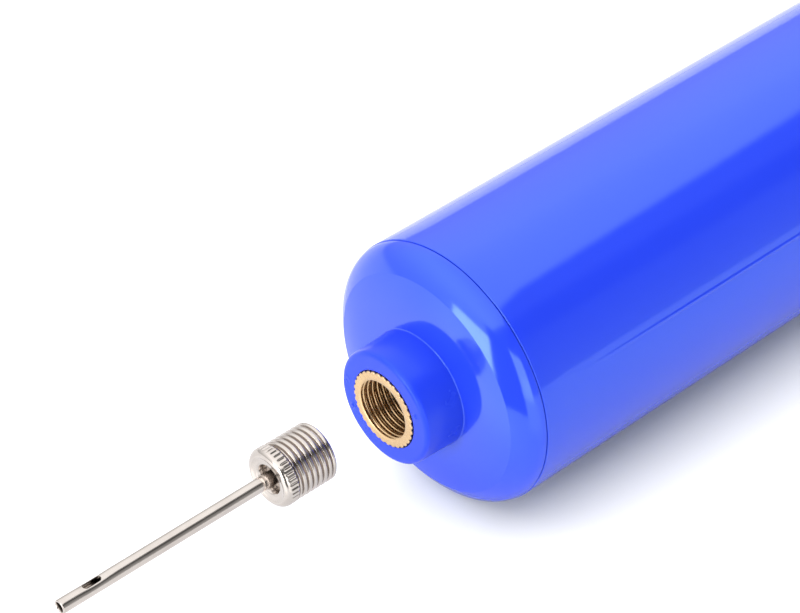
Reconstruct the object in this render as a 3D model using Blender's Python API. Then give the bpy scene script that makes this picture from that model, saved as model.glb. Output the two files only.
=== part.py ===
"""A hand ball pump lying on its side: a blue plastic barrel with a nose cap and a threaded brass
nozzle, a plunger with a T-handle, and an inflation needle drawn off the nozzle along its axis.

Units: the dimensions below are millimetres, and the meshes are metres with +Z up. The pump's axis
runs along X, from the needle at -X to the handle at +X. The origin is on the ground, under the middle
of the barrel. Distances along the pump below are counted from the seam between nose cap and barrel.
"""

import math

import bmesh
import bpy
from mathutils import Matrix, Vector

MM = 0.001
GAP = 0.3
CLOSE_GAP = 0.1

# Barrel: the pump lies on the lowest flat of its outside.
BARREL_RADIUS = 18.0
BARREL_WALL = 2.5
BARREL_LENGTH = 150.0
BARREL_SIDES = 40
AXIS_HEIGHT = BARREL_RADIUS
BORE_RADIUS = BARREL_RADIUS - BARREL_WALL
PARTING_LINE_ANGLES = (-22.0, 158.0)
PARTING_LINE_WIDTH = 0.5
PARTING_LINE_HEIGHT = 0.12
SPIGOT_RADIUS = BORE_RADIUS - GAP
SPIGOT_WALL = 2.0
SPIGOT_DEPTH = 9.0
SNAP_BEAD = 0.5

# Nose cap: a slightly domed face, a crease, a round edge, and the boss that holds the nozzle.
CAP_RADIUS = 17.85
CAP_DEPTH = 4.4
CAP_FACE_RADIUS = 15.05
CAP_FACE_DOME = 1.0
CAP_EDGE_KNEE = (-1.75, 17.7)
CAP_WALL = 3.2
SEAM = 0.15
BOSS_FRONT = -10.3
BOSS_FRONT_RADIUS = 7.75
BOSS_BASE_RADIUS = 7.95
BOSS_RIM_ROUND = 0.75

# Nozzle insert and the needle's thread, 32 threads to the inch.
PITCH = 25.4 / 32
INSERT_RADIUS = 5.33
INSERT_LENGTH = 9.1
INSERT_TEETH = 40
INSERT_TOOTH_DEPTH = 0.28
NOZZLE_THREAD_INNER = 3.94
NOZZLE_THREAD_OUTER = 4.32
NOZZLE_THREADS = 7
SEAL_SEAT_RADIUS = 4.0
SEAL_SEAT_DEPTH = 7.5
AIR_HOLE_RADIUS = 1.5

# Outlet check valve, in the tower behind the nozzle. Its poppet opens towards the nozzle.
VALVE_TOWER_RADIUS = 6.5
VALVE_BORE_RADIUS = 4.5
VALVE_WEB_HOLE = 2.0
SEAT_FRONT = 5.6
POPPET_DISC_FRONT = 4.2
SPRING_TURNS = 4.5
SPRING_RADIUS = 2.6
SPRING_WIRE = 0.25

# Needle. NEEDLE_FRONT is the collar's front face at rest, drawn clear of the nozzle.
NEEDLE_FRONT = -29.0
NEEDLE_THREAD_OUTER = 3.886
NEEDLE_THREAD_INNER = 3.42
NEEDLE_THREADS = 7
COLLAR_RADIUS = 3.92
COLLAR_LENGTH = 1.8
NEEDLE_BASE_LENGTH = 7.8
TUBE_RADIUS = 0.934
TUBE_BORE = 0.6
TUBE_LENGTH = 31.0
TUBE_SEATED = 6.0
TUBE_SLOT_FROM_TIP = 4.7
TUBE_SLOT_LENGTH = 2.6
TUBE_SLOT_WIDTH = 0.9

# Plunger, pushed fully in.
ROD_RADIUS = 4.0
STUB_RADIUS = 3.0
PISTON_FRONT = 17.2
PISTON_REAR = 31.0
SCREW_HEAD_FRONT = 10.6
SCREW_SHANK_RADIUS = 1.6
SCREW_END = 22.0
GUIDE_RING_X = (28.55, 30.05)

# Rear end of the barrel.
END_CAP_RADIUS = 17.8
END_CAP_LENGTH = 7.2
END_CAP_SPIGOT = 8.0
END_CAP_RIB_DEPTH = 0.7
BUSH_RADIUS = 6.0
BUSH_BORE = ROD_RADIUS + 0.2
VENT_RADIUS = 1.4
VENT_CIRCLE = 11.0
VENTS = 3

# Handle, moulded in one piece with a hollow bar.
HUB_START = 161.8
HUB_RADIUS = 8.0
BAR_X = 177.0
BAR_HALF_LENGTH = 46.0
BAR_RADIUS_X = 10.0
BAR_RADIUS_Z = 8.6
BAR_END_SHRINK = 0.84
BAR_WAIST = 0.05
ROD_END = 175.0
PIN_X = 167.0
PIN_RADIUS = 1.45
PLUG_RADIUS = 4.6
PLUG_DEPTH = 9.0


def clear_scene():
    for thing in list(bpy.data.objects):
        bpy.data.objects.remove(thing, do_unlink=True)


def finish(name, colour, roughness, metallic=0.0):
    """A Principled material of its own for one piece."""
    material = bpy.data.materials.new(name)
    material.use_nodes = True
    shader = material.node_tree.nodes["Principled BSDF"]
    shader.inputs["Base Color"].default_value = (*colour, 1.0)
    shader.inputs["Roughness"].default_value = roughness
    shader.inputs["Metallic"].default_value = metallic
    return material


def blue_plastic(name):
    return finish(name, (0.035, 0.085, 0.86), 0.22)


def brass(name):
    return finish(name, (0.78, 0.58, 0.30), 0.28, 1.0)


def nickel(name):
    return finish(name, (0.72, 0.68, 0.60), 0.20, 1.0)


def steel(name):
    return finish(name, (0.62, 0.63, 0.65), 0.30, 1.0)


def black_rubber(name):
    return finish(name, (0.02, 0.02, 0.022), 0.75)


def white_plastic(name):
    return finish(name, (0.80, 0.80, 0.77), 0.40)


def joint_empty(name, parent=None):
    """An empty on the pump's axis: every joint of the pump lies along it."""
    empty = bpy.data.objects.new(name, None)
    empty.empty_display_size = 10 * MM
    bpy.context.scene.collection.objects.link(empty)
    if parent is None:
        empty.location = (-BARREL_LENGTH / 2 * MM, 0.0, AXIS_HEIGHT * MM)
    else:
        empty.parent = parent
    return empty


def add_object(name, shape, material, parent, place=None):
    """Puts a bmesh, drawn in millimetres about the pump's axis, into the scene in metres."""
    bmesh.ops.scale(shape, vec=(MM, MM, MM), verts=shape.verts)
    mesh = bpy.data.meshes.new(name)
    shape.to_mesh(mesh)
    shape.free()
    mesh.shade_smooth()
    mesh.set_sharp_from_angle(angle=math.radians(28))
    piece = bpy.data.objects.new(name, mesh)
    bpy.context.scene.collection.objects.link(piece)
    piece.parent = parent
    if place is not None:
        placed = place.copy()
        placed.translation = place.translation * MM
        piece.matrix_local = placed
    if material is None:
        piece.hide_render = True
        piece.display_type = "WIRE"
    else:
        mesh.materials.append(material)
    return piece


def spun(outline, sides, rib_from=None, rib_to=None, rib_depth=0.0):
    """Spins an outline of (x, radius) points about X. An outline that starts and ends on the axis is
    left open there, and any other is closed. A radius is measured to the middle of a flat. Between
    rib_from and rib_to, the outermost points of every other edge line are lowered by rib_depth."""
    shape = bmesh.new()
    flats = 1 / math.cos(math.pi / sides)
    points = [shape.verts.new((x, 0.0, -radius * flats)) for x, radius in outline]
    pairs = list(zip(points, points[1:]))
    if outline[0][1] > 0:
        pairs.append((points[-1], points[0]))
    edges = [shape.edges.new(pair) for pair in pairs]
    start = Matrix.Rotation(math.pi / sides, 3, "X")
    bmesh.ops.rotate(shape, cent=(0, 0, 0), matrix=start, verts=shape.verts)
    bmesh.ops.spin(
        shape,
        geom=points + edges,
        cent=(0, 0, 0),
        axis=(1, 0, 0),
        angle=2 * math.pi,
        steps=sides,
        use_merge=True,
    )
    bmesh.ops.remove_doubles(shape, verts=shape.verts, dist=1e-4)
    bmesh.ops.recalc_face_normals(shape, faces=shape.faces)
    if rib_depth:
        lower_ribs(shape, sides, rib_from, rib_to, rib_depth)
    return shape


def lower_ribs(shape, sides, rib_from, rib_to, rib_depth):
    ribbed = [v for v in shape.verts if rib_from <= v.co.x <= rib_to]
    outside = max(math.hypot(v.co.y, v.co.z) for v in ribbed)
    for vertex in ribbed:
        radius = math.hypot(vertex.co.y, vertex.co.z)
        line = round(math.atan2(vertex.co.y, -vertex.co.z) / (2 * math.pi / sides) - 0.5)
        if line % 2 and radius > outside - rib_depth:
            shrink = (radius - rib_depth) / radius
            vertex.co.y *= shrink
            vertex.co.z *= shrink


def turned(name, outline, material, parent, sides=32, place=None, **ribs):
    return add_object(name, spun(outline, sides, **ribs), material, parent, place)


def box(name, low, high, material, parent, place=None):
    shape = bmesh.new()
    bmesh.ops.create_cube(shape, size=1.0)
    for vertex in shape.verts:
        vertex.co = Vector(
            (high[i] if vertex.co[i] > 0 else low[i]) for i in range(3)
        )
    return add_object(name, shape, material, parent, place)


def rod_cutter(name, radius, start, end, parent, place=None, sides=16):
    """A plain cylinder from start to end along local X, used to drill a hole."""
    outline = [(start, 0.0), (start, radius), (end, radius), (end, 0.0)]
    return turned(name, outline, None, parent, sides, place)


def combine(piece, other, operation):
    modifier = piece.modifiers.new(f"{operation.lower()} {other.name}", "BOOLEAN")
    modifier.object = other
    modifier.operation = operation
    modifier.solver = "EXACT"


def domed_face(steps):
    """Points of the cap's face, from the boss out to the crease."""
    points = []
    for i in range(1, steps + 1):
        share = i / steps
        radius = BOSS_BASE_RADIUS + (CAP_FACE_RADIUS - BOSS_BASE_RADIUS) * share
        points.append((-CAP_DEPTH + CAP_FACE_DOME * share**2.2, radius))
    return points


def edge_curve(start, knee, end, steps):
    """Points of a curve from start to end, after start, which leans towards the knee."""
    points = []
    for i in range(1, steps + 1):
        t = i / steps
        weights = ((1 - t) ** 2, 2 * t * (1 - t), t**2)
        points.append(
            tuple(sum(w * p[k] for w, p in zip(weights, (start, knee, end))) for k in (0, 1))
        )
    return points


def thread_outline(start, count, root, crest):
    """One V-shaped ring for each pitch of the thread."""
    points = []
    for i in range(count):
        points.append((start + (i + 0.1) * PITCH, root))
        points.append((start + (i + 0.6) * PITCH, crest))
    return points


def make_barrel(root):
    groove_x = BARREL_LENGTH - END_CAP_SPIGOT / 2
    outline = [
        (SEAM, BORE_RADIUS),
        (SEAM, BARREL_RADIUS - 0.15),
        (SEAM + 0.15, BARREL_RADIUS),
        (BARREL_LENGTH - 0.4, BARREL_RADIUS),
        (BARREL_LENGTH, BARREL_RADIUS - 0.4),
        (BARREL_LENGTH, BORE_RADIUS),
        (groove_x + 1.2, BORE_RADIUS),
        (groove_x + 0.8, BORE_RADIUS + SNAP_BEAD),
        (groove_x - 0.8, BORE_RADIUS + SNAP_BEAD),
        (groove_x - 1.2, BORE_RADIUS),
    ]
    barrel = turned("barrel", outline, blue_plastic("barrel blue"), root, BARREL_SIDES)
    half = PARTING_LINE_WIDTH / 2
    for number, degrees in enumerate(PARTING_LINE_ANGLES, start=1):
        turn = Matrix.Rotation(math.radians(degrees), 4, "X")
        low = (2.0, -BARREL_RADIUS - PARTING_LINE_HEIGHT, -half)
        high = (BARREL_LENGTH - 2.0, -BARREL_RADIUS + 0.5, half)
        line = box(f"parting_line_guide_{number}", low, high, None, root, turn)
        combine(barrel, line, "UNION")


def make_nose_cap(root):
    inner = CAP_WALL - CAP_DEPTH
    boss_bore = INSERT_RADIUS + CLOSE_GAP
    web = BOSS_FRONT + INSERT_LENGTH + 0.2
    outline = [
        (BOSS_FRONT, boss_bore),
        (BOSS_FRONT, BOSS_FRONT_RADIUS - BOSS_RIM_ROUND),
        (BOSS_FRONT + 0.22 * BOSS_RIM_ROUND, BOSS_FRONT_RADIUS - 0.29 * BOSS_RIM_ROUND),
        (BOSS_FRONT + BOSS_RIM_ROUND, BOSS_FRONT_RADIUS),
        (-CAP_DEPTH, BOSS_BASE_RADIUS),
    ]
    outline += domed_face(5)
    outline += edge_curve(outline[-1], CAP_EDGE_KNEE, (-SEAM, CAP_RADIUS), 6)
    outline += [
        (-SEAM, SPIGOT_RADIUS),
        (SPIGOT_DEPTH, SPIGOT_RADIUS),
        (SPIGOT_DEPTH, SPIGOT_RADIUS - SPIGOT_WALL),
        (inner, SPIGOT_RADIUS - SPIGOT_WALL),
        (inner, VALVE_TOWER_RADIUS),
        (SPIGOT_DEPTH, VALVE_TOWER_RADIUS),
        (SPIGOT_DEPTH, VALVE_BORE_RADIUS),
        (0.0, VALVE_BORE_RADIUS),
        (0.0, VALVE_WEB_HOLE),
        (web, VALVE_WEB_HOLE),
        (web, boss_bore),
    ]
    turned("nose_cap", outline, blue_plastic("nose cap blue"), root, BARREL_SIDES)


def make_nozzle(root):
    front = BOSS_FRONT
    back = front + INSERT_LENGTH
    body = [
        (front, 0.0),
        (front, INSERT_RADIUS - 0.05),
        (front + 0.05, INSERT_RADIUS),
        (back, INSERT_RADIUS),
        (back, 0.0),
    ]
    insert = turned(
        "nozzle_insert",
        body,
        brass("nozzle brass"),
        root,
        2 * INSERT_TEETH,
        rib_from=front - 1,
        rib_to=back + 1,
        rib_depth=INSERT_TOOTH_DEPTH,
    )
    seat = front + SEAL_SEAT_DEPTH
    bore = [(front - 1, 0.0), (front - 1, NOZZLE_THREAD_INNER + 0.1)]
    bore += [(front, NOZZLE_THREAD_INNER + 0.1), (front + 0.1, NOZZLE_THREAD_INNER)]
    bore += thread_outline(front + 0.1, NOZZLE_THREADS, NOZZLE_THREAD_INNER, NOZZLE_THREAD_OUTER)
    bore += [
        (front + 0.2 + NOZZLE_THREADS * PITCH, SEAL_SEAT_RADIUS),
        (seat, SEAL_SEAT_RADIUS),
        (seat, AIR_HOLE_RADIUS),
        (back + 1, AIR_HOLE_RADIUS),
        (back + 1, 0.0),
    ]
    combine(insert, turned("nozzle_bore_cutter", bore, None, root, 24), "DIFFERENCE")

    washer = [
        (seat - GAP - 1.0, AIR_HOLE_RADIUS + 0.1),
        (seat - GAP - 1.0, SEAL_SEAT_RADIUS - 0.15),
        (seat - CLOSE_GAP, SEAL_SEAT_RADIUS - 0.15),
        (seat - CLOSE_GAP, AIR_HOLE_RADIUS + 0.1),
    ]
    turned("nozzle_seal_washer", washer, black_rubber("washer rubber"), root, 24)


def make_check_valve(root, valve):
    plug = VALVE_BORE_RADIUS - CLOSE_GAP
    seat = [
        (SEAT_FRONT, 1.25),
        (SEAT_FRONT, plug),
        (SPIGOT_DEPTH + CLOSE_GAP, plug),
        (SPIGOT_DEPTH + CLOSE_GAP, VALVE_TOWER_RADIUS),
        (SPIGOT_DEPTH + 0.9, VALVE_TOWER_RADIUS),
        (SPIGOT_DEPTH + 0.9, 1.25),
    ]
    turned("check_valve_seat", seat, white_plastic("valve seat plastic"), root, 24)
    poppet = [
        (POPPET_DISC_FRONT - 1.9, 0.0),
        (POPPET_DISC_FRONT - 1.9, 1.1),
        (POPPET_DISC_FRONT, 1.1),
        (POPPET_DISC_FRONT, 3.5),
        (SEAT_FRONT - GAP, 3.5),
        (SEAT_FRONT - GAP, 1.0),
        (SEAT_FRONT + 0.3, 0.6),
        (SEAT_FRONT + 0.3, 0.0),
    ]
    turned("check_valve_poppet", poppet, black_rubber("poppet rubber"), valve, 24)
    make_spring(root)


def make_spring(root):
    """A coil along X between the web behind the nozzle and the poppet's disc."""
    start = CLOSE_GAP + SPRING_WIRE
    end = POPPET_DISC_FRONT - CLOSE_GAP - SPRING_WIRE
    steps = int(SPRING_TURNS * 10)
    wire_sides = 5
    shape = bmesh.new()
    rings = []
    for i in range(steps + 1):
        angle = 2 * math.pi * SPRING_TURNS * i / steps
        middle = Vector((start + (end - start) * i / steps, 0.0, 0.0))
        outward = Vector((0.0, math.sin(angle), math.cos(angle)))
        ring = []
        for side in range(wire_sides):
            turn = 2 * math.pi * side / wire_sides
            along = Vector((SPRING_WIRE * math.sin(turn), 0.0, 0.0))
            distance = SPRING_RADIUS + SPRING_WIRE * math.cos(turn)
            ring.append(shape.verts.new(middle + outward * distance + along))
        rings.append(ring)
    for first, second in zip(rings, rings[1:]):
        for side in range(wire_sides):
            after = (side + 1) % wire_sides
            shape.faces.new((first[side], first[after], second[after], second[side]))
    shape.faces.new(rings[0])
    shape.faces.new(rings[-1])
    bmesh.ops.recalc_face_normals(shape, faces=shape.faces)
    add_object("check_valve_spring", shape, steel("valve spring steel"), root)


def make_piston(piston):
    bore = STUB_RADIUS + 0.2
    core = [
        (PISTON_FRONT, bore),
        (PISTON_FRONT, 14.4),
        (PISTON_FRONT + 3.0, 14.4),
        (PISTON_FRONT + 3.0, 8.0),
        (GUIDE_RING_X[0] - 1.15, 8.0),
        (GUIDE_RING_X[0] - 1.15, 15.1),
        (GUIDE_RING_X[0] - 0.15, 15.1),
        (GUIDE_RING_X[0] - 0.15, 13.7),
        (GUIDE_RING_X[1] + 0.15, 13.7),
        (GUIDE_RING_X[1] + 0.15, 15.1),
        (PISTON_REAR, 15.1),
        (PISTON_REAR, bore),
    ]
    turned("piston_core", core, white_plastic("piston plastic"), piston)
    ring = [
        (GUIDE_RING_X[0], 13.85),
        (GUIDE_RING_X[0], 15.3),
        (GUIDE_RING_X[1], 15.3),
        (GUIDE_RING_X[1], 13.85),
    ]
    guide = turned("piston_guide_ring", ring, white_plastic("guide ring nylon"), piston)
    split = box(
        "guide_ring_split_cutter",
        (GUIDE_RING_X[0] - 1, -0.6, 12.0),
        (GUIDE_RING_X[1] + 1, 0.6, 17.0),
        None,
        piston,
    )
    combine(guide, split, "DIFFERENCE")
    cup_back = PISTON_FRONT - GAP
    cup = [
        (cup_back - 2.3, bore + 0.1),
        (cup_back - 2.3, 12.2),
        (cup_back - 5.9, 14.2),
        (cup_back - 5.9, 15.25),
        (cup_back - 4.7, 15.3),
        (cup_back, 14.3),
        (cup_back, bore + 0.1),
    ]
    turned("cup_seal", cup, black_rubber("cup rubber"), piston)
    washer = [
        (cup_back - 3.6, bore + 0.1),
        (cup_back - 3.6, 10.6),
        (cup_back - 2.4, 10.9),
        (cup_back - 2.4, bore + 0.1),
    ]
    turned("cup_washer", washer, steel("cup washer steel"), piston)


def make_rod(plunger):
    head_back = SCREW_HEAD_FRONT + 2.4
    screw = [
        (SCREW_HEAD_FRONT, 0.0),
        (SCREW_HEAD_FRONT, 2.6),
        (SCREW_HEAD_FRONT + 0.5, 3.8),
        (SCREW_HEAD_FRONT + 1.4, 4.3),
        (head_back, 4.3),
        (head_back, SCREW_SHANK_RADIUS),
        (SCREW_END, SCREW_SHANK_RADIUS),
        (SCREW_END + 0.6, SCREW_SHANK_RADIUS - 0.6),
        (SCREW_END + 0.6, 0.0),
    ]
    piston_screw = turned("piston_screw", screw, steel("piston screw steel"), plunger, 24)
    slot = box(
        "screw_slot_cutter",
        (SCREW_HEAD_FRONT - 1, -0.5, -6.0),
        (SCREW_HEAD_FRONT + 1.1, 0.5, 6.0),
        None,
        plunger,
    )
    combine(piston_screw, slot, "DIFFERENCE")

    shoulder = PISTON_REAR + 0.25
    rod = [
        (SCREW_END + 1.2, 0.0),
        (SCREW_END + 1.2, SCREW_SHANK_RADIUS + 0.15),
        (head_back + CLOSE_GAP, SCREW_SHANK_RADIUS + 0.15),
        (head_back + CLOSE_GAP, STUB_RADIUS),
        (shoulder, STUB_RADIUS),
        (shoulder, ROD_RADIUS),
        (ROD_END - 0.5, ROD_RADIUS),
        (ROD_END, ROD_RADIUS - 0.5),
        (ROD_END, 0.0),
    ]
    piston_rod = turned("piston_rod", rod, steel("rod steel"), plunger)
    combine(piston_rod, pin_hole("rod_pin_hole_cutter", plunger), "DIFFERENCE")


def upright(x):
    """Local X turned to +Z, at this place along the pump."""
    return Matrix.Translation((x, 0.0, 0.0)) @ Matrix.Rotation(-math.pi / 2, 4, "Y")


def pin_hole(name, parent):
    return rod_cutter(name, PIN_RADIUS + 0.15, -12.0, 12.0, parent, upright(PIN_X))


def make_handle(plunger):
    handle = add_object("handle", bar_shape(), blue_plastic("handle blue"), plunger)
    hub = [
        (HUB_START, 0.0),
        (HUB_START, HUB_RADIUS - 0.6),
        (HUB_START + 0.6, HUB_RADIUS),
        (BAR_X - 9.0, HUB_RADIUS),
        (BAR_X, HUB_RADIUS + 0.4),
        (BAR_X, 0.0),
    ]
    combine(handle, turned("handle_hub_guide", hub, None, plunger), "UNION")
    socket = rod_cutter("handle_socket_cutter", ROD_RADIUS + CLOSE_GAP,
                        HUB_START - 1, ROD_END + GAP, plunger, sides=24)
    combine(handle, socket, "DIFFERENCE")
    combine(handle, pin_hole("handle_pin_hole_cutter", plunger), "DIFFERENCE")
    for side, name in ((-1, "left"), (1, "right")):
        make_end_plug(plunger, handle, side, name)

    half = HUB_RADIUS - 0.4
    pin = [(-half, 0.0), (-half, PIN_RADIUS - 0.2), (0.3 - half, PIN_RADIUS)]
    pin += [(half - 0.3, PIN_RADIUS), (half, PIN_RADIUS - 0.2), (half, 0.0)]
    turned("handle_pin", pin, steel("pin steel"), plunger, 16, upright(PIN_X))

    bumper = [
        (HUB_START - 2.9, ROD_RADIUS + 0.15),
        (HUB_START - 2.9, 7.4),
        (HUB_START - 2.4, 7.8),
        (HUB_START - 0.4, 7.8),
        (HUB_START - 0.2, 7.6),
        (HUB_START - 0.2, ROD_RADIUS + 0.15),
    ]
    turned("handle_bumper", bumper, black_rubber("bumper rubber"), plunger, 24)


def bar_shape():
    """The handle's bar along Y: oval, fullest in the middle, with rounded ends."""
    sides, stations = 20, 10
    shape = bmesh.new()
    rings = []
    for i in range(stations + 1):
        share = -1 + 2 * i / stations
        y = BAR_HALF_LENGTH * math.sin(share * math.pi / 2)
        along = abs(y) / BAR_HALF_LENGTH
        size = 1 - (1 - BAR_END_SHRINK) * along**6 - BAR_WAIST * math.sin(math.pi * along) ** 2
        ring = []
        for side in range(sides):
            turn = 2 * math.pi * (side + 0.5) / sides
            x = BAR_X + BAR_RADIUS_X * size * math.cos(turn)
            ring.append(shape.verts.new((x, y, BAR_RADIUS_Z * size * math.sin(turn))))
        rings.append(ring)
    for first, second in zip(rings, rings[1:]):
        for side in range(sides):
            after = (side + 1) % sides
            shape.faces.new((first[side], first[after], second[after], second[side]))
    shape.faces.new(rings[0])
    shape.faces.new(rings[-1])
    bmesh.ops.recalc_face_normals(shape, faces=shape.faces)
    return shape


def make_end_plug(plunger, handle, side, name):
    """A push-in plug, whose head stands in a recess of the bar's end. Local X points outwards."""
    end = BAR_HALF_LENGTH
    place = Matrix.Translation((BAR_X, 0.0, 0.0)) @ Matrix.Rotation(side * math.pi / 2, 4, "Z")
    socket = [
        (end - PLUG_DEPTH - 1.0, 0.0),
        (end - PLUG_DEPTH - 1.0, PLUG_RADIUS + CLOSE_GAP),
        (end - 1.5, PLUG_RADIUS + CLOSE_GAP),
        (end - 1.5, PLUG_RADIUS + 1.3),
        (end + 1.0, PLUG_RADIUS + 1.3),
        (end + 1.0, 0.0),
    ]
    cutter = turned(f"plug_socket_cutter_{name}", socket, None, plunger, 24, place)
    combine(handle, cutter, "DIFFERENCE")
    plug = [
        (end - PLUG_DEPTH, 0.0),
        (end - PLUG_DEPTH, PLUG_RADIUS - 0.4),
        (end - PLUG_DEPTH + 0.6, PLUG_RADIUS),
        (end - 1.4, PLUG_RADIUS),
        (end - 1.4, PLUG_RADIUS + 1.1),
        (end - 0.5, PLUG_RADIUS + 1.1),
        (end - 0.2, PLUG_RADIUS + 0.7),
        (end - 0.2, 0.0),
    ]
    turned(f"handle_plug_{name}", plug, black_rubber(f"plug {name}"), plunger, 24, place)


def make_rear_end(root):
    start = BARREL_LENGTH + GAP
    end = start + END_CAP_LENGTH
    inner = BARREL_LENGTH - END_CAP_SPIGOT
    groove_x = BARREL_LENGTH - END_CAP_SPIGOT / 2
    cap = [
        (start, SPIGOT_RADIUS),
        (start, END_CAP_RADIUS - 0.4),
        (start + 0.4, END_CAP_RADIUS),
        (end - 1.2, END_CAP_RADIUS),
        (end - 0.3, END_CAP_RADIUS - 1.0),
        (end, END_CAP_RADIUS - 2.2),
        (end, BUSH_RADIUS + CLOSE_GAP),
        (inner, BUSH_RADIUS + CLOSE_GAP),
        (inner, BUSH_RADIUS + 3.0),
        (start, BUSH_RADIUS + 3.0),
        (start, SPIGOT_RADIUS - SPIGOT_WALL),
        (inner, SPIGOT_RADIUS - SPIGOT_WALL),
        (inner, SPIGOT_RADIUS),
        (groove_x - 0.9, SPIGOT_RADIUS),
        (groove_x - 0.6, SPIGOT_RADIUS + SNAP_BEAD),
        (groove_x + 0.6, SPIGOT_RADIUS + SNAP_BEAD),
        (groove_x + 0.9, SPIGOT_RADIUS),
    ]
    end_cap = turned(
        "end_cap",
        cap,
        blue_plastic("end cap blue"),
        root,
        BARREL_SIDES,
        rib_from=start + 0.3,
        rib_to=end - 0.5,
        rib_depth=END_CAP_RIB_DEPTH,
    )
    for i in range(VENTS):
        turn = Matrix.Rotation(2 * math.pi * (i + 0.5) / VENTS, 4, "X")
        place = turn @ Matrix.Translation((0.0, 0.0, VENT_CIRCLE))
        vent = rod_cutter(f"vent_cutter_{i + 1}", VENT_RADIUS, start - 1, end + 1, root, place)
        combine(end_cap, vent, "DIFFERENCE")

    bush = [
        (inner - 1.6, BUSH_BORE),
        (inner - 1.6, BUSH_RADIUS + 1.5),
        (inner - CLOSE_GAP, BUSH_RADIUS + 1.5),
        (inner - CLOSE_GAP, BUSH_RADIUS),
        (end + 0.3, BUSH_RADIUS),
        (end + 0.6, BUSH_RADIUS - 0.3),
        (end + 0.6, BUSH_BORE),
    ]
    turned("rod_guide_bush", bush, white_plastic("bush plastic"), root)
    stop = [
        (inner - 4.8, BUSH_BORE + 0.4),
        (inner - 4.8, BUSH_RADIUS + 2.5),
        (inner - 1.7, BUSH_RADIUS + 2.5),
        (inner - 1.7, BUSH_BORE + 0.4),
    ]
    turned("end_stop_ring", stop, black_rubber("stop rubber"), root, 24)


def make_needle(needle):
    front = NEEDLE_FRONT
    base = [
        (front + 0.9, TUBE_RADIUS + 0.07),
        (front + 0.9, 1.45),
        (front, 1.6),
        (front, 3.0),
        (front + 0.2, 3.6),
        (front + 0.6, COLLAR_RADIUS),
        (front + COLLAR_LENGTH - 0.15, COLLAR_RADIUS),
        (front + COLLAR_LENGTH, NEEDLE_THREAD_INNER + 0.3),
    ]
    start = front + COLLAR_LENGTH
    base += thread_outline(start, NEEDLE_THREADS, NEEDLE_THREAD_INNER, NEEDLE_THREAD_OUTER)
    back = front + NEEDLE_BASE_LENGTH
    base += [
        (back, NEEDLE_THREAD_INNER - 0.2),
        (back, 2.2),
        (front + TUBE_SEATED + GAP, 2.0),
        (front + TUBE_SEATED + GAP, TUBE_RADIUS + 0.07),
    ]
    turned(
        "needle_base",
        base,
        nickel("needle base nickel"),
        needle,
        24,
        rib_from=front + 0.4,
        rib_to=start - 0.1,
        rib_depth=0.14,
    )
    tip = front - TUBE_LENGTH
    tube = [
        (tip, TUBE_BORE),
        (tip, TUBE_RADIUS - 0.15),
        (tip + 0.15, TUBE_RADIUS),
        (front + TUBE_SEATED, TUBE_RADIUS),
        (front + TUBE_SEATED, TUBE_BORE),
    ]
    needle_tube = turned("needle_tube", tube, nickel("needle tube nickel"), needle, 16)
    middle, half = tip + TUBE_SLOT_FROM_TIP, TUBE_SLOT_LENGTH / 2
    slot = box(
        "needle_slot_cutter",
        (middle - half, -TUBE_SLOT_WIDTH / 2, 0.0),
        (middle + half, TUBE_SLOT_WIDTH / 2, 2.0),
        None,
        needle,
    )
    combine(needle_tube, slot, "DIFFERENCE")


def main():
    clear_scene()
    root = joint_empty("pump_axis")
    piston = joint_empty("piston_slide_axis", root)
    plunger = joint_empty("handle_spin_axis", piston)
    valve = joint_empty("check_valve_axis", root)
    needle = joint_empty("needle_slide_axis", root)
    make_barrel(root)
    make_nose_cap(root)
    make_nozzle(root)
    make_check_valve(root, valve)
    make_rear_end(root)
    make_piston(piston)
    make_rod(plunger)
    make_handle(plunger)
    make_needle(needle)


main()
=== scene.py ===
"""The looks of a hand ball pump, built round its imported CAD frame.

Meshes are metres with +Z up, and the dimensions below are millimetres. The pump's axis runs along
X, from the needle at -X to the handle at +X, and places along it are counted from the seam between
the nose cap and the barrel. Pieces are made from finer outlines than the frame's, inside its box.
"""

import math

import bmesh
import bpy
import numpy as np
from mathutils import Matrix, Vector


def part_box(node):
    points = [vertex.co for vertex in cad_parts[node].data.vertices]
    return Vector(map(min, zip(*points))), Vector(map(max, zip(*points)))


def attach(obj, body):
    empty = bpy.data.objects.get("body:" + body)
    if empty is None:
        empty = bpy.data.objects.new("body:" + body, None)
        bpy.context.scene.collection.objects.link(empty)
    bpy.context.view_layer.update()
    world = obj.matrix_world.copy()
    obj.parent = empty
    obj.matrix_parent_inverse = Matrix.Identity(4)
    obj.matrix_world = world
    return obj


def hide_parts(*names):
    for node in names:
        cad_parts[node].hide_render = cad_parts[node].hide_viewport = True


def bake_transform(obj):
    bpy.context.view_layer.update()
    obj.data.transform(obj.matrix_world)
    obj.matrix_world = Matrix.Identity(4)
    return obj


MM = 0.001

# Camera: place, counted from the ground under the seam, where it looks in degrees, and its lens.
CAMERA_PLACE = (-194.96, -202.51, 265.12)
CAMERA_AZIMUTH = -42.76
CAMERA_ELEVATION = 40.1
CAMERA_ROLL = 0.27
CAMERA_LENS = 136.4

# Thread of the nozzle and the needle, 32 to the inch.
PITCH = 25.4 / 32

BARREL_RADIUS = 18.0
BARREL_LENGTH = 150.0
BARREL_BORE = 15.5
# The pump lies on its barrel.
AXIS_HEIGHT = BARREL_RADIUS
# The frame's barrel starts this far behind the seam.
SEAM_GAP = 0.15
# The boss is less glossy from its front to here.
MATT_UNTIL = -4.5
# Centre of the pin that holds the handle, the pin's length and the radius of its hole.
PIN_X = 167.0
PIN_LENGTH = 15.0
PIN_HOLE_RADIUS = 1.6

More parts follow.
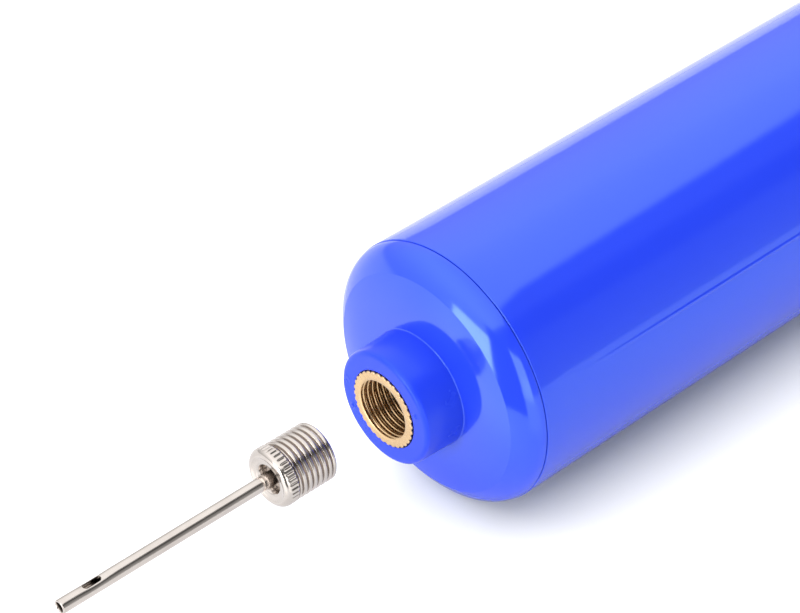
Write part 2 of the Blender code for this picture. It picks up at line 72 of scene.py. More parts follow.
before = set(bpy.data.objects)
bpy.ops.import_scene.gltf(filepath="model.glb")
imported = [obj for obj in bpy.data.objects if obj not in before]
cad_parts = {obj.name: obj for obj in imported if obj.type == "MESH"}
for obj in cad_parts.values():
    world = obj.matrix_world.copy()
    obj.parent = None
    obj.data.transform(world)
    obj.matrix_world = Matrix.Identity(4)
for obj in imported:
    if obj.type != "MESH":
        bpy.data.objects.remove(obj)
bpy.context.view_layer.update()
SEAM_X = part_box("barrel")[0].x / MM - SEAM_GAP


# ---------------------------------------------------------------- shapes

# Edges that turn by more degrees than this are shaded sharp, unless a piece says otherwise.
SHARP = 35


def rounded(points, steps=5):
    """An outline of (x, radius) or (x, radius, fillet) points, with each fillet as a curve."""
    result = []
    count = len(points)
    for i, (x, r, *fillet) in enumerate(points):
        if not fillet:
            result.append((x, r))
            continue
        here = Vector((x, r))
        before = Vector(points[i - 1][:2]) - here
        after = Vector(points[(i + 1) % count][:2]) - here
        half_angle = before.angle(after) / 2
        reach = fillet[0] / math.tan(half_angle)
        reach = min(reach, 0.49 * before.length, 0.49 * after.length)
        start = here + before.normalized() * reach
        end = here + after.normalized() * reach
        for step in range(steps + 1):
            t = step / steps
            point = start * (1 - t) ** 2 + here * 2 * t * (1 - t) + end * t * t
            result.append((point.x, point.y))
    return result


def divided(points, longest):
    """A closed outline with its long stretches split, so that no step is longer than this."""
    result = []
    for (x0, r0), (x1, r1) in zip(points, points[1:] + points[:1]):
        pieces = max(1, math.ceil(math.hypot(x1 - x0, r1 - r0) / longest))
        for k in range(pieces):
            t = k / pieces
            result.append((x0 + (x1 - x0) * t, r0 + (r1 - r0) * t))
    return result


def arc(centre_x, centre_r, depth, width, steps):
    """A quarter of an ellipse, from the point that faces the needle outwards."""
    turns = np.radians(np.linspace(0.0, 90.0, steps + 1))
    return [(centre_x - depth * math.cos(t), centre_r + width * math.sin(t)) for t in turns]


def full_turn(count):
    """Evenly spaced angles, from 0 up to but not including a full turn."""
    return np.arange(count) * 2 * math.pi / count


def smooth(low, high, value):
    """0 at low, 1 at high, and an S-curve in between."""
    t = np.clip((value - low) / (high - low), 0.0, 1.0)
    return t * t * (3 - 2 * t)


def bell(value, width):
    """A bump of height 1 around 0."""
    return np.exp(-((value / width) ** 2))


def around(turn, middle):
    """The angle from middle to turn, between -pi and pi."""
    return (turn - middle + math.pi) % (2 * math.pi) - math.pi


def add_mesh(name, vertices, faces, place=None, sharp=SHARP):
    """A smooth-shaded piece with its faces turned outwards, from points in millimetres."""
    mesh = bpy.data.meshes.new(name)
    mesh.from_pydata([tuple(v) for v in np.asarray(vertices) * MM], [], faces)
    work = bmesh.new()
    work.from_mesh(mesh)
    bmesh.ops.recalc_face_normals(work, faces=work.faces)
    work.to_mesh(mesh)
    work.free()
    mesh.shade_smooth()
    mesh.set_sharp_from_angle(angle=math.radians(sharp))
    piece = bpy.data.objects.new(name, mesh)
    bpy.context.scene.collection.objects.link(piece)
    if place is None:
        place = Matrix.Identity(4)
    scaled = place.copy()
    scaled.translation = (place.translation + Vector((SEAM_X, 0, AXIS_HEIGHT))) * MM
    piece.matrix_world = scaled
    return piece


def ring_faces(rows, closed):
    """Faces between neighbouring rows of point numbers. A row that repeats one number is a point
    on the axis."""
    faces = []
    for near, far in zip(rows, rows[1:] + rows[:1] if closed else rows[1:]):
        sides = len(near)
        for k in range(sides):
            after = (k + 1) % sides
            face = []
            for v in (near[k], near[after], far[after], far[k]):
                if v not in face:
                    face.append(v)
            faces.append(face)
    return faces


def turned(name, outline, sides, shape=None, place=None, sharp=SHARP):
    """A solid spun about X. An outline that starts and ends on the axis is closed by it. sides is a
    count or a list of angles. shape takes x, radius and angle and returns a new x and radius."""
    angles = full_turn(sides) if isinstance(sides, int) else np.array(sides)
    profile = np.array(outline)
    on_axis = profile[0, 1] < 1e-6
    size = (len(profile), len(angles))
    x = np.broadcast_to(profile[:, :1], size)
    r = np.broadcast_to(profile[:, 1:], size)
    turn = np.broadcast_to(angles, size)
    if shape is not None:
        x, r = shape(x, r, turn)
    points = np.stack([x, r * np.cos(turn), r * np.sin(turn)], axis=-1)
    vertices, rows = [], []
    for i, ring in enumerate(points):
        if on_axis and i in (0, len(points) - 1):
            rows.append([len(vertices)] * len(angles))
            vertices.append(ring.mean(axis=0))
        else:
            rows.append(list(range(len(vertices), len(vertices) + len(angles))))
            vertices.extend(ring)
    return add_mesh(name, vertices, ring_faces(rows, not on_axis), place, sharp)


def cut(piece, cutter, operation="DIFFERENCE"):
    """Cuts or joins a shape for good, and drops the other one."""
    bpy.context.view_layer.update()
    modifier = piece.modifiers.new("cut", "BOOLEAN")
    modifier.object = cutter
    modifier.operation = operation
    modifier.solver = "EXACT"
    graph = bpy.context.evaluated_depsgraph_get()
    mesh = bpy.data.meshes.new_from_object(piece.evaluated_get(graph))
    piece.modifiers.clear()
    piece.data = mesh
    mesh.shade_smooth()
    mesh.set_sharp_from_angle(angle=math.radians(SHARP))
    bpy.data.objects.remove(cutter)


def paint(piece, finish):
    """The piece's only material."""
    piece.data.materials.clear()
    piece.data.materials.append(finish)


def dress(piece, finish, body, node):
    """The piece's material, the body it rides on and the node it stands for."""
    paint(piece, finish)
    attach(piece, body)
    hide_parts(node)


# ---------------------------------------------------------------- materials


class Nodes:
    """A short way to write node trees."""

    def __init__(self, tree):
        self.tree = tree
        self.place = self.add("ShaderNodeTexCoord").outputs

    def add(self, kind, **settings):
        node = self.tree.nodes.new(kind)
        for key, value in settings.items():
            setattr(node, key, value)
        return node

    def put(self, target, value):
        """Links an output to an input, or sets the input's value."""
        if isinstance(value, bpy.types.NodeSocket):
            self.tree.links.new(value, target)
        else:
            target.default_value = value

    def fed(self, kind, *values, **settings):
        node = self.add(kind, **settings)
        for socket, value in zip(node.inputs, values):
            self.put(socket, value)
        return node.outputs[0]

    def maths(self, operation, *values):
        return self.fed("ShaderNodeMath", *values, operation=operation)

    def mapped(self, value, low, high, to_low, to_high, smoothly=False):
        kind = "SMOOTHSTEP" if smoothly else "LINEAR"
        return self.fed("ShaderNodeMapRange", value, low, high, to_low, to_high,
                        interpolation_type=kind)

    def dot(self, vector, direction):
        node = self.add("ShaderNodeVectorMath", operation="DOT_PRODUCT")
        self.put(node.inputs[0], vector)
        self.put(node.inputs[1], direction)
        return node.outputs["Value"]

    def scaled(self, scale):
        node = self.add("ShaderNodeMapping")
        self.put(node.inputs["Vector"], self.place["Object"])
        self.put(node.inputs["Scale"], scale)
        return node.outputs[0]

    def noise(self, scale, detail=3.0, vector=None, roughness=0.5):
        node = self.add("ShaderNodeTexNoise")
        self.put(node.inputs["Vector"], vector or self.place["Object"])
        self.put(node.inputs["Scale"], scale)
        self.put(node.inputs["Detail"], detail)
        self.put(node.inputs["Roughness"], roughness)
        return node.outputs["Fac"]

    def mix(self, factor, first, second):
        node = self.add("ShaderNodeMix", data_type="RGBA")
        self.put(node.inputs[0], factor)
        self.put(node.inputs[6], (*first, 1.0) if isinstance(first, tuple) else first)
        self.put(node.inputs[7], (*second, 1.0) if isinstance(second, tuple) else second)
        return node.outputs[2]

    def mix_value(self, factor, first, second):
        node = self.add("ShaderNodeMix", data_type="FLOAT")
        self.put(node.inputs[0], factor)
        self.put(node.inputs[2], first)
        self.put(node.inputs[3], second)
        return node.outputs[0]

    def bump(self, height, strength, distance, normal=None):
        node = self.add("ShaderNodeBump")
        self.put(node.inputs["Height"], height)
        self.put(node.inputs["Strength"], strength)
        self.put(node.inputs["Distance"], distance)
        if normal is not None:
            self.put(node.inputs["Normal"], normal)
        return node.outputs[0]


# Base colours: the two ends of each material's mottle.
BLUES = ((0.0105, 0.032, 0.53), (0.0128, 0.038, 0.57))
NICKELS = ((0.46, 0.415, 0.385), (0.60, 0.555, 0.52))
BRASSES = ((0.56, 0.375, 0.21), (0.70, 0.50, 0.275))
STEELS = ((0.58, 0.59, 0.61), (0.70, 0.71, 0.72))
RUBBERS = ((0.016, 0.016, 0.018), (0.032, 0.032, 0.034))
NATURALS = ((0.74, 0.73, 0.68), (0.84, 0.83, 0.79))
PAPERS = ((0.885, 0.885, 0.89), (0.895, 0.895, 0.90))
# Light that the blue plastic bounces onto its surroundings.
BLUE_BOUNCED = (0.03, 0.06, 0.30)
# Strength of the blue plastic's reflections, glossy and on the matt boss.
GLOSSY_LEVEL = 0.8
MATT_LEVEL = 0.28


def material(name, build, **options):
    """A material whose Principled shader gets the inputs that build returns."""
    made = bpy.data.materials.new(name)
    made.use_nodes = True
    n = Nodes(made.node_tree)
    shader = made.node_tree.nodes["Principled BSDF"]
    for key, value in build(n, **options).items():
        n.put(shader.inputs[key], value)
    return made


def blue_plastic(n, matt_until=None):
    """Glossy self-coloured plastic: a faint flow mottle, orange peel and rubbed patches. It's less
    glossy up to a place along the pump, where one is given. It bounces less blue than it shows."""
    flow = n.noise(38.0)
    fine = n.noise(900.0, 2.0)
    rubbed = n.noise(120.0, 4.0, roughness=0.6)
    peel = n.noise(260.0, 2.0)
    roughness = n.mapped(rubbed, 0.3, 0.7, 0.075, 0.115)
    roughness = n.maths("ADD", roughness, n.mapped(fine, 0.4, 0.7, 0.0, 0.02))
    level = GLOSSY_LEVEL
    if matt_until is not None:
        along = n.dot(n.place["Object"], (1 / MM, 0, 0))
        matt = n.mapped(along, matt_until - 0.05, matt_until + 0.05, 1.0, 0.0, True)
        roughness = n.mix_value(matt, roughness, n.mapped(rubbed, 0.3, 0.7, 0.20, 0.30))
        level = n.mix_value(matt, level, MATT_LEVEL)
    shown = n.mix(flow, *BLUES)
    rays = n.add("ShaderNodeLightPath").outputs
    return {
        "Base Color": n.mix(rays["Is Diffuse Ray"], shown, BLUE_BOUNCED),
        "Roughness": roughness,
        "Specular IOR Level": level,
        "Specular Tint": (0.58, 1.0, 1.0, 1.0),
        "Normal": n.bump(fine, 0.03, 0.00005, n.bump(peel, 0.05, 0.0002)),
    }


def nickel(n):
    """Warm nickel plating: fine turning marks and a patchy polish."""
    rings = n.noise(1.0, 2.0, n.scaled((9000.0, 60.0, 60.0)))
    patches = n.noise(350.0, 4.0)
    return {
        "Base Color": n.mix(patches, *NICKELS),
        "Metallic": 1.0,
        "Roughness": n.mapped(n.maths("MULTIPLY", rings, patches), 0.1, 0.5, 0.10, 0.24),
        "Normal": n.bump(rings, 0.10, 0.00002),
    }


def brass(n):
    """Turned brass with a sandy grain and warmer patches."""
    grain = n.noise(2600.0)
    patches = n.noise(420.0, 4.0)
    return {
        "Base Color": n.mix(patches, *BRASSES),
        "Metallic": 1.0,
        "Roughness": n.mapped(grain, 0.3, 0.7, 0.16, 0.34),
        "Normal": n.bump(grain, 0.02, 0.00002),
    }


def steel(n):
    """Drawn steel: lines along the axis and cloudy patches."""
    lines = n.noise(1.0, 3.0, n.scaled((60.0, 2500.0, 2500.0)))
    patches = n.noise(200.0, 4.0)
    return {
        "Base Color": n.mix(patches, *STEELS),
        "Metallic": 1.0,
        "Roughness": n.mapped(lines, 0.3, 0.7, 0.14, 0.28),
        "Normal": n.bump(lines, 0.08, 0.00002),
    }


def rubber(n):
    """Black rubber with a fine grain and a grey bloom."""
    grain = n.noise(1500.0, 4.0)
    bloom = n.noise(90.0, 4.0)
    return {
        "Base Color": n.mix(bloom, *RUBBERS),
        "Roughness": n.mapped(bloom, 0.3, 0.7, 0.58, 0.75),
        "Normal": n.bump(grain, 0.2, 0.00005),
    }


def natural_plastic(n):
    """Unpainted off-white plastic, slightly mottled and waxy."""
    mottle = n.noise(60.0, 4.0)
    grain = n.noise(1200.0)
    return {
        "Base Color": n.mix(mottle, *NATURALS),
        "Roughness": n.mapped(mottle, 0.3, 0.7, 0.34, 0.46),
        "Normal": n.bump(grain, 0.1, 0.00004),
    }


def floor_paper(n):
    """Matt white paper with a very faint tooth."""
    tooth = n.noise(700.0, 4.0)
    shade = n.noise(9.0)
    return {
        "Base Color": n.mix(shade, *PAPERS),
        "Roughness": 0.95,
        "Specular IOR Level": 0.2,
        "Normal": n.bump(tooth, 0.04, 0.00005),
    }


BLUE = material("blue plastic", blue_plastic)
BLUE_NOSE = material("blue plastic, matt boss", blue_plastic, matt_until=MATT_UNTIL)
NICKEL = material("nickel plate", nickel)
BRASS = material("turned brass", brass)
STEEL = material("drawn steel", steel)
RUBBER = material("black rubber", rubber)
NATURAL = material("natural plastic", natural_plastic)


# ---------------------------------------------------------------- barrel and nose


def make_barrel():
    """A tube with a fine moulding ridge along each side, which fades out towards the nose."""
    ridges = np.radians((158.0, 338.0))
    half_width, height, fine, steps = 0.30, 0.12, 0.05, 13
    outside, clear = BARREL_RADIUS - 0.04, 0.75
    angles = list(full_turn(256))
    for middle in ridges:
        angles = [a for a in angles if abs(around(a, middle)) * BARREL_RADIUS > clear]
    for middle in ridges:
        angles += [middle + k * fine / BARREL_RADIUS for k in range(-steps, steps + 1)]
    angles.sort()

    def shape(x, r, turn):
        raised = np.zeros_like(r)
        for middle in ridges:
            across = np.abs(around(turn, middle)) * BARREL_RADIUS
            raised = raised + smooth(half_width, 0.08, across)
        grown = height * smooth(5, 34, x) * smooth(BARREL_LENGTH - 0.2, BARREL_LENGTH - 2, x)
        return x, r + raised * grown * (r > 17.5)

    start = 0.04
    outline = rounded([
        (start, BARREL_BORE),
        (start, outside, 0.14),
        (BARREL_LENGTH, outside, 0.5),
        (BARREL_LENGTH, BARREL_BORE),
        (147.2, BARREL_BORE),
        (146.8, 16.0),
        (145.2, 16.0),
        (144.8, BARREL_BORE),
    ])
    piece = turned("barrel_shell", divided(outline, 4.0), angles, shape)
    dress(piece, BLUE, "pump_body", "barrel")


def edge_curve(start, knee, end, steps):
    """Points of a curve from start to end that leans towards the knee."""
    start, knee, end = Vector(start), Vector(knee), Vector(end)
    parts = [i / steps for i in range(steps + 1)]
    curve = [start * (1 - t) ** 2 + knee * 2 * t * (1 - t) + end * t * t for t in parts]
    return [(point.x, point.y) for point in curve]


def make_nose_cap():
    """A slightly domed face with a crease round it and a round edge, and the boss with two small
    rings with dimples in them. Behind it are the spigot in the barrel and the valve's tower."""
    front, base_x, base, crease, dome, mouth = -10.3, -4.4, 7.95, 15.05, 1.0, 5.33
    wall_back, spigot_end, spigot, spigot_inner = -1.2, 9.0, 15.2, 13.2
    tower, valve_bore, air_hole = 6.5, 4.5, 2.0
    # Angle in degrees, and distance from the axis.
    pips = ((-28, 6.27), (156, 6.18))
    pip_height, pip_ring = 0.10, 0.28

    def shape(x, r, turn):
        face = (x < -10.0) & (r < 7.5)
        for angle, radius in pips:
            away = np.hypot(r - radius, around(turn, math.radians(angle)) * radius)
            x = x - face * pip_height * (bell(away - pip_ring, 0.14) - bell(away, 0.12))
        return x, r

    rim = [(front, 5.0), (front, 7.75, 0.75), (-7.0, 7.84), (base_x, base, 0.18), (base_x, 10)]
    rim = rounded(rim, steps=9)
    bore = rounded([(-9.0, mouth), (front, mouth, 0.05), (front, 7.0)])[1:-1]
    face = [(front, r) for r in np.arange(5.48, 6.95, 0.1)]
    outline = bore + face + rim[1:-1]
    shares = np.linspace(0.03, 1.0, 26)
    outline += [(base_x + dome * t**2.2, base + (crease - base) * t) for t in shares]
    outline += edge_curve(outline[-1], (-1.75, 17.7), (-0.16, 17.86), 28)[1:]
    outline += [(-0.08, 17.84), (-0.05, 17.78), (-0.05, spigot), (spigot_end, spigot)]
    outline += [(spigot_end, spigot_inner), (wall_back, spigot_inner), (wall_back, tower)]
    outline += [(spigot_end, tower), (spigot_end, valve_bore), (0.0, valve_bore)]
    outline += [(0.0, air_hole), (-1.0, air_hole), (-1.0, mouth)]
    piece = turned("nose_cap_shell", outline, 320, shape, sharp=12)
    dress(piece, BLUE_NOSE, "pump_body", "nose_cap")


def thread_rows(start, turns, radius, per_turn=16):
    """Evenly spaced points along a thread, which its shape function then raises and lowers."""
    count = int(turns * per_turn)
    return [(start + turns * PITCH * i / count, radius) for i in range(count + 1)]


def in_thread(x, r, root, start, end):
    """1 for the points of thread_rows, fading out over the thread's first and last turns."""
    at_root = (r < root + 0.01) & (r > root - 0.01)
    return at_root * smooth(*start, x) * smooth(*end, x)


def thread_wave(x, turn, land):
    """Height of a right-hand thread about X: 1 in the middle of its crest, which takes this share
    of the pitch, and 0 in the groove."""
    phase = (x / PITCH - turn / (2 * math.pi)) % 1.0
    across = np.abs(phase - 0.5) * 2
    return 1.0 - smooth(land, 0.96, across) - 0.08 * (across / land).clip(0, 1) ** 2


def make_nozzle_insert():
    """A brass insert with a toothed outside and a threaded bore, standing proud of the boss."""
    front, back, outer, root, crest, mouth = -10.5, -1.2, 5.27, 4.32, 3.93, 4.02
    teeth, depth, air_hole = 34, 0.18, 1.5
    thread_start, thread_turns, thread_end = front + 0.2, 7.7, front + 6.5
    seal_seat, seal_seat_x = 4.0, front + 7.7

    def shape(x, r, turn):
        wave = 0.5 + 0.5 * np.cos(turn * teeth)
        grooves = smooth(0.25, 0.95, wave) * (r > 4.9) * depth
        lead_in = (front + 0.15, front + 0.5)
        lead_out = (front + 6.4, front + 5.8)
        raised = in_thread(x, r, root, lead_in, lead_out) * (root - crest)
        return x, r - grooves - raised * thread_wave(x, turn, land=0.38)

    outline = [(front + 0.04, mouth), (front, mouth + 0.06), (front, 4.5), (front, 4.95)]
    outline += arc(front + 0.1, 5.16, 0.1, 0.1, 3)
    outline += [(front + 1.0, outer), (back, outer), (back, air_hole), (seal_seat_x, air_hole)]
    outline += [(seal_seat_x, seal_seat), (thread_end + 0.1, seal_seat), (thread_end, root)]
    outline += thread_rows(thread_start, thread_turns, root)[::-1]
    piece = turned("nozzle_insert_brass", outline, 320, shape, sharp=70)
    dress(piece, BRASS, "pump_body", "nozzle_insert")


# ---------------------------------------------------------------- needle


def make_needle_base():
    """A knurled collar with a domed rim and a recess round the tube, and a threaded shank."""
    front, root, crest, collar, shank = -29.0, 3.42, 3.886, 3.92, 3.85
    thread_start, thread_end, back = front + 1.8, front + 7.1, front + 7.8
    grooves, groove_depth, rim = 36, 0.15, 0.85
    tube_hole, air_hole = 1.0, 2.0

    def shape(x, r, turn):
        wave = 0.5 + 0.5 * np.cos(turn * grooves)
        knurled = smooth(front + 0.5, front + 0.7, x) * smooth(thread_start, front + 1.7, x)
        sunk = smooth(0.72, 0.99, wave) * knurled * (r > 3.6) * groove_depth
        lead_in = (thread_start + 0.02, thread_start + 0.2)
        lead_out = (thread_end + 0.1, thread_end - 0.2)
        raised = in_thread(x, r, root, lead_in, lead_out) * (crest - root)
        return x, r - sunk + raised * thread_wave(x, turn, land=0.5)

    outline = [(front + 1.6, tube_hole), (front + 1.6, 1.9), (front + 0.3, 1.96)]
    outline += [(front + 0.18, 2.08), (front + 0.14, 2.4), (front + 0.12, 2.85)]
    outline += [(front + 0.04, 2.95)]
    outline += arc(front + rim, 3.07, rim, rim, 14)
    outline += [(front + 0.95 + 0.1 * i, collar) for i in range(8)]
    outline += [(front + 1.75, collar - 0.03), (thread_start, collar - 0.2)]
    outline += [(thread_start + 0.02, root)]
    outline += thread_rows(thread_start + 0.03, (thread_end - thread_start) / PITCH, root)
    outline += [(thread_end + 0.08, 3.75), (thread_end + 0.14, shank), (back - 0.2, shank)]
    outline += [(back - 0.05, 3.7), (back, 3.5), (back, 2.2), (front + 6.3, air_hole)]
    outline += [(front + 6.3, tube_hole)]
    piece = turned("needle_base_plated", outline, 288, shape, sharp=70)
    dress(piece, NICKEL, "needle", "needle_base")


def make_needle_tube():
    """A thin tube with a rolled tip, and a slot with a slight dent beside it."""
    tip, end, radius, bore, rolled = -60.0, -23.0, 0.934, 0.62, 0.14
    slot_x, slot_half, slot_width = tip + 4.7, 1.3, 0.42
    dent_depth, end_steps = 0.12, 12
    # Close rows near the tip, for the dent.
    close_rows, close_end = [tip + 0.4 + 0.3 * i for i in range(28)], -50.0

    def shape(x, r, turn):
        dent = bell(around(turn, math.pi / 2), 0.9) * bell(x - slot_x, 1.9) * dent_depth
        return x, r - dent * (r > 0.7) - dent * (r <= 0.7) * 0.8

    outline = [(tip + 0.12, bore), (tip, bore + 0.06), (tip, radius - rolled)]
    outline += arc(tip + rolled, radius - rolled, rolled, rolled, 4)[1:]
    outline += [(x, radius) for x in close_rows]
    outline += [(close_end, radius), (end, radius), (end, bore), (close_end, bore)]
    outline += [(x, bore) for x in close_rows[::-1]]
    piece = turned("needle_tube_plated", outline, 64, shape)
    ends = []
    for side, start in ((1, -90), (-1, 90)):
        for step in range(end_steps + 1):
            angle = math.radians(start + 180 * step / end_steps)
            across = slot_width * math.sin(angle)
            along = slot_x + side * (slot_half - slot_width) + slot_width * math.cos(angle)
            ends.append((along, across))
    count = len(ends)
    vertices = [(x, y, z) for z in (0.1, 2.0) for x, y in ends]
    faces = [tuple(range(count)), tuple(range(2 * count - 1, count - 1, -1))]
    faces += [(k, (k + 1) % count, count + (k + 1) % count, count + k) for k in range(count)]
    cut(piece, add_mesh("slot_cutter", vertices, faces))
    dress(piece, NICKEL, "needle", "needle_tube")


# ---------------------------------------------------------------- rear end and handle


def make_rear_end():
    """The ribbed end cap with its air holes, the rod's guide bush and the piston's stop ring."""
    start, end, spigot_start = BARREL_LENGTH + 0.3, BARREL_LENGTH + 7.5, 142.0
    radius, spigot, spigot_inner, core, rod_hole = 17.8, 15.2, 13.2, 9.0, 6.1
    bead, rim, hub, recess = 15.7, 15.4, 7.0, 0.4
    ribs, depth = 60, 0.35
    vents, vent_circle, vent_radius, vent_mouth = 3, 11.0, 1.4, 1.75

    def ribbed(x, r, turn):
        wave = 0.5 + 0.5 * np.cos(turn * ribs)
        held = smooth(start + 0.5, start + 1.2, x) * smooth(end - 0.6, end - 1.4, x)
        return x, r - smooth(0.3, 0.9, wave) * held * depth * (r > 16.5)

    outline = rounded([
        (start, spigot),
        (start, radius, 0.4),
        (end, radius, 1.6),
        (end, rim, 0.3),
        (end - recess, rim - 0.5, 0.3),
        (end - recess, hub + 0.4, 0.3),
        (end, hub, 0.2),
        (end, rod_hole, 0.1),
        (spigot_start, rod_hole),
        (spigot_start, core),
        (start, core),
        (start, spigot_inner),
        (spigot_start, spigot_inner),
        (spigot_start, spigot),
        (145.1, spigot),
        (145.4, bead),
        (146.6, bead),
        (146.9, spigot),
    ])
    cap = turned("end_cap_shell", divided(outline, 0.9), 480, ribbed)
    drill = [(start - 1, 0.0), (start - 1, vent_radius), (end - 0.65, vent_radius)]
    drill += [(end - 0.2, vent_mouth), (end + 1, vent_mouth), (end + 1, 0.0)]
    for i in range(vents):
        angle = 2 * math.pi * (i + 0.5) / vents
        place = Matrix.Rotation(angle, 4, "X") @ Matrix.Translation((0, 0, vent_circle))
        cut(cap, turned(f"vent_cutter_{i}", drill, 48, None, place))
    dress(cap, BLUE, "pump_body", "end_cap")

    bush_outline = rounded([
        (140.4, 4.2, 0.3),
        (140.4, 7.5, 0.3),
        (141.9, 7.5, 0.2),
        (141.9, 6.0),
        (158.1, 6.0, 0.4),
        (158.1, 4.2, 0.25),
    ])
    bush = turned("rod_guide_bush_turned", bush_outline, 96)
    dress(bush, NATURAL, "pump_body", "rod_guide_bush")
    stop_outline = rounded([
        (137.2, 4.6, 0.4),
        (137.2, 8.5, 0.6),
        (140.3, 8.5, 0.6),
        (140.3, 4.6, 0.4),
    ])
    stop = turned("end_stop_ring_moulded", stop_outline, 96)
    dress(stop, RUBBER, "pump_body", "end_stop_ring")


def upright(x):
    """The place of a turned piece that stands across the pump's axis."""
    return Matrix.Translation((x, 0.0, 0.0)) @ Matrix.Rotation(-math.pi / 2, 4, "Y")


def pin_hole_cutter(name):
    reach = 12.0
    hole = [(-reach, 0.0), (-reach, PIN_HOLE_RADIUS), (reach, PIN_HOLE_RADIUS), (reach, 0.0)]
    return turned(name, hole, 48, None, upright(PIN_X))


def make_rod():
    """The rod with the hollow stub for the piston on its front, the handle's pin and its bumper."""
    rod_radius, stub_radius, screw_hole = 4.0, 3.0, 1.75
    stub_front, stub_back, hole_end, rear = 13.1, 31.25, 23.2, 175.0
    outline = rounded([
        (hole_end, 0.0),
        (hole_end, screw_hole),
        (stub_front, screw_hole),
        (stub_front, stub_radius),
        (stub_back, stub_radius),
        (stub_back, rod_radius, 0.2),
        (rear, rod_radius, 0.5),
        (rear, 0.0),
    ])
    rod = turned("piston_rod_drawn", outline, 96)
    cut(rod, pin_hole_cutter("rod_hole_cutter"))
    dress(rod, STEEL, "plunger", "piston_rod")

    half, radius, chamfer = PIN_LENGTH / 2, 1.42, 0.2
    pin_outline = [(-half, 0.0), (-half, 1.25), (-half + chamfer, radius)]
    pin_outline += [(half - chamfer, radius), (half, 1.25), (half, 0.0)]
    pin = turned("handle_pin_turned", pin_outline, 48, None, upright(PIN_X))
    dress(pin, STEEL, "plunger", "handle_pin")

    bumper_outline = rounded([
        (158.9, 4.15, 0.2),
        (158.9, 7.8, 0.6),
        (161.6, 7.8, 0.4),
        (161.6, 4.15, 0.2),
    ])
    bumper = turned("handle_bumper_moulded", bumper_outline, 96)
    dress(bumper, RUBBER, "plunger", "handle_bumper")


def make_handle():
    """An oval bar, fullest in the middle, blended onto a round hub, with a plug in each end."""
    bar_x, half, edge, sides = 177.0, 46.0, 1.0, 96
    wide, high = 9.85, 8.46
    hub_start, hub_radius, socket_radius = 161.8, 8.0, 4.1
    end_rows = half - edge + np.sin(np.radians(np.linspace(0, 90, 7)))
    middle_rows = np.linspace(0, half - edge, 40)
    turns = full_turn(sides)
    rows, vertices = [], []
    for y in np.concatenate([-end_rows[:0:-1], -middle_rows[:0:-1], middle_rows, end_rows[1:]]):
        along = abs(y) / half
        size = 1 - 0.16 * along**6 - 0.05 * math.sin(math.pi * along) ** 2
        inset = edge - math.sqrt(max(0.0, 1.0 - max(0.0, abs(y) - half + edge) ** 2))
        rows.append(list(range(len(vertices), len(vertices) + sides)))
        x = bar_x + (wide * size - inset) * np.cos(turns)
        z = (high * size - inset) * np.sin(turns)
        vertices.extend(np.stack([x, np.full(sides, y), z], axis=-1))
    faces = ring_faces(rows, False) + [rows[0][::-1], rows[-1]]
    bar = add_mesh("handle_moulded", vertices, faces)

    hub = rounded([
        (hub_start, 0.0),
        (hub_start, hub_radius, 0.7),
        (168.0, hub_radius),
        (171.0, 8.12),
        (bar_x, 8.38),
        (bar_x, 0.0),
    ])
    cut(bar, turned("hub_joined", hub, 96), "UNION")
    socket = [(160.0, 0.0), (160.0, 4.5), (hub_start, 4.5), (hub_start + 0.4, socket_radius)]
    socket += [(175.3, socket_radius), (175.3, 0.0)]
    cut(bar, turned("socket_cutter", socket, 64))
    cut(bar, pin_hole_cutter("pin_hole_cutter"))

    # Outlines along the bar, from its middle outwards.
    recess = [(36.0, 0.0), (36.0, 4.7), (44.5, 4.7), (44.5, 5.9)]
    recess += [(45.8, 5.9), (47.0, 6.3), (47.0, 0.0)]
    plug = rounded([
        (37.0, 0.0),
        (37.0, 4.6, 0.6),
        (44.6, 4.6),
        (44.6, 5.7, 0.1),
        (45.8, 5.7, 0.6),
        (45.8, 2.4, 0.5),
        (45.3, 1.9, 0.5),
        (45.3, 0.0),
    ])
    for side, name in ((-1, "left"), (1, "right")):
        place = Matrix.Translation((bar_x, 0, 0)) @ Matrix.Rotation(side * math.pi / 2, 4, "Z")
        cut(bar, turned(f"recess_cutter_{name}", recess, 64, None, place))
        plug_piece = turned(f"handle_plug_{name}_moulded", plug, 64, None, place)
        dress(plug_piece, RUBBER, "plunger", f"handle_plug_{name}")
    dress(bar, BLUE, "plunger", "handle")


# ---------------------------------------------------------------- inside


def make_valve_spring():
    """A wire coil of fixed shape. In the pump it's squeezed as the poppet lifts off its seat."""
    wire, radius, coils, sides, per_coil = 0.24, 2.6, 4.5, 12, 48
    first, last = 0.36, 3.84
    turns, whole = full_turn(sides), coils * 2 * math.pi
    rows, vertices = [], []
    for angle in np.linspace(0, whole, int(coils * per_coil) + 1):
        x = first + (last - first) * angle / whole
        rows.append(list(range(len(vertices), len(vertices) + sides)))
        reach = radius + wire * np.cos(turns)
        ring = [x + wire * np.sin(turns), reach * math.cos(angle), reach * math.sin(angle)]
        vertices.extend(np.stack(ring, axis=-1))
    faces = ring_faces(rows, False) + [rows[0][::-1], rows[-1]]
    spring = add_mesh("check_valve_spring_wound", vertices, faces, sharp=60)
    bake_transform(spring)
    paint(spring, STEEL)
    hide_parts("check_valve_spring")


def make_inside():
    """The frame's own pieces that stay, which only show in a cut-away or an exploded view."""
    finishes = {
        "nozzle_seal_washer": (RUBBER, "rubber"),
        "check_valve_seat": (NATURAL, "natural_plastic"),
        "check_valve_poppet": (RUBBER, "rubber"),
        "piston_core": (NATURAL, "natural_plastic"),
        "piston_guide_ring": (NATURAL, "natural_plastic"),
        "cup_seal": (RUBBER, "rubber"),
        "cup_washer": (STEEL, "steel"),
        "piston_screw": (STEEL, "steel"),
    }
    for name, (finish, slot) in finishes.items():
        paint(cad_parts[name], finish)


# ---------------------------------------------------------------- stage


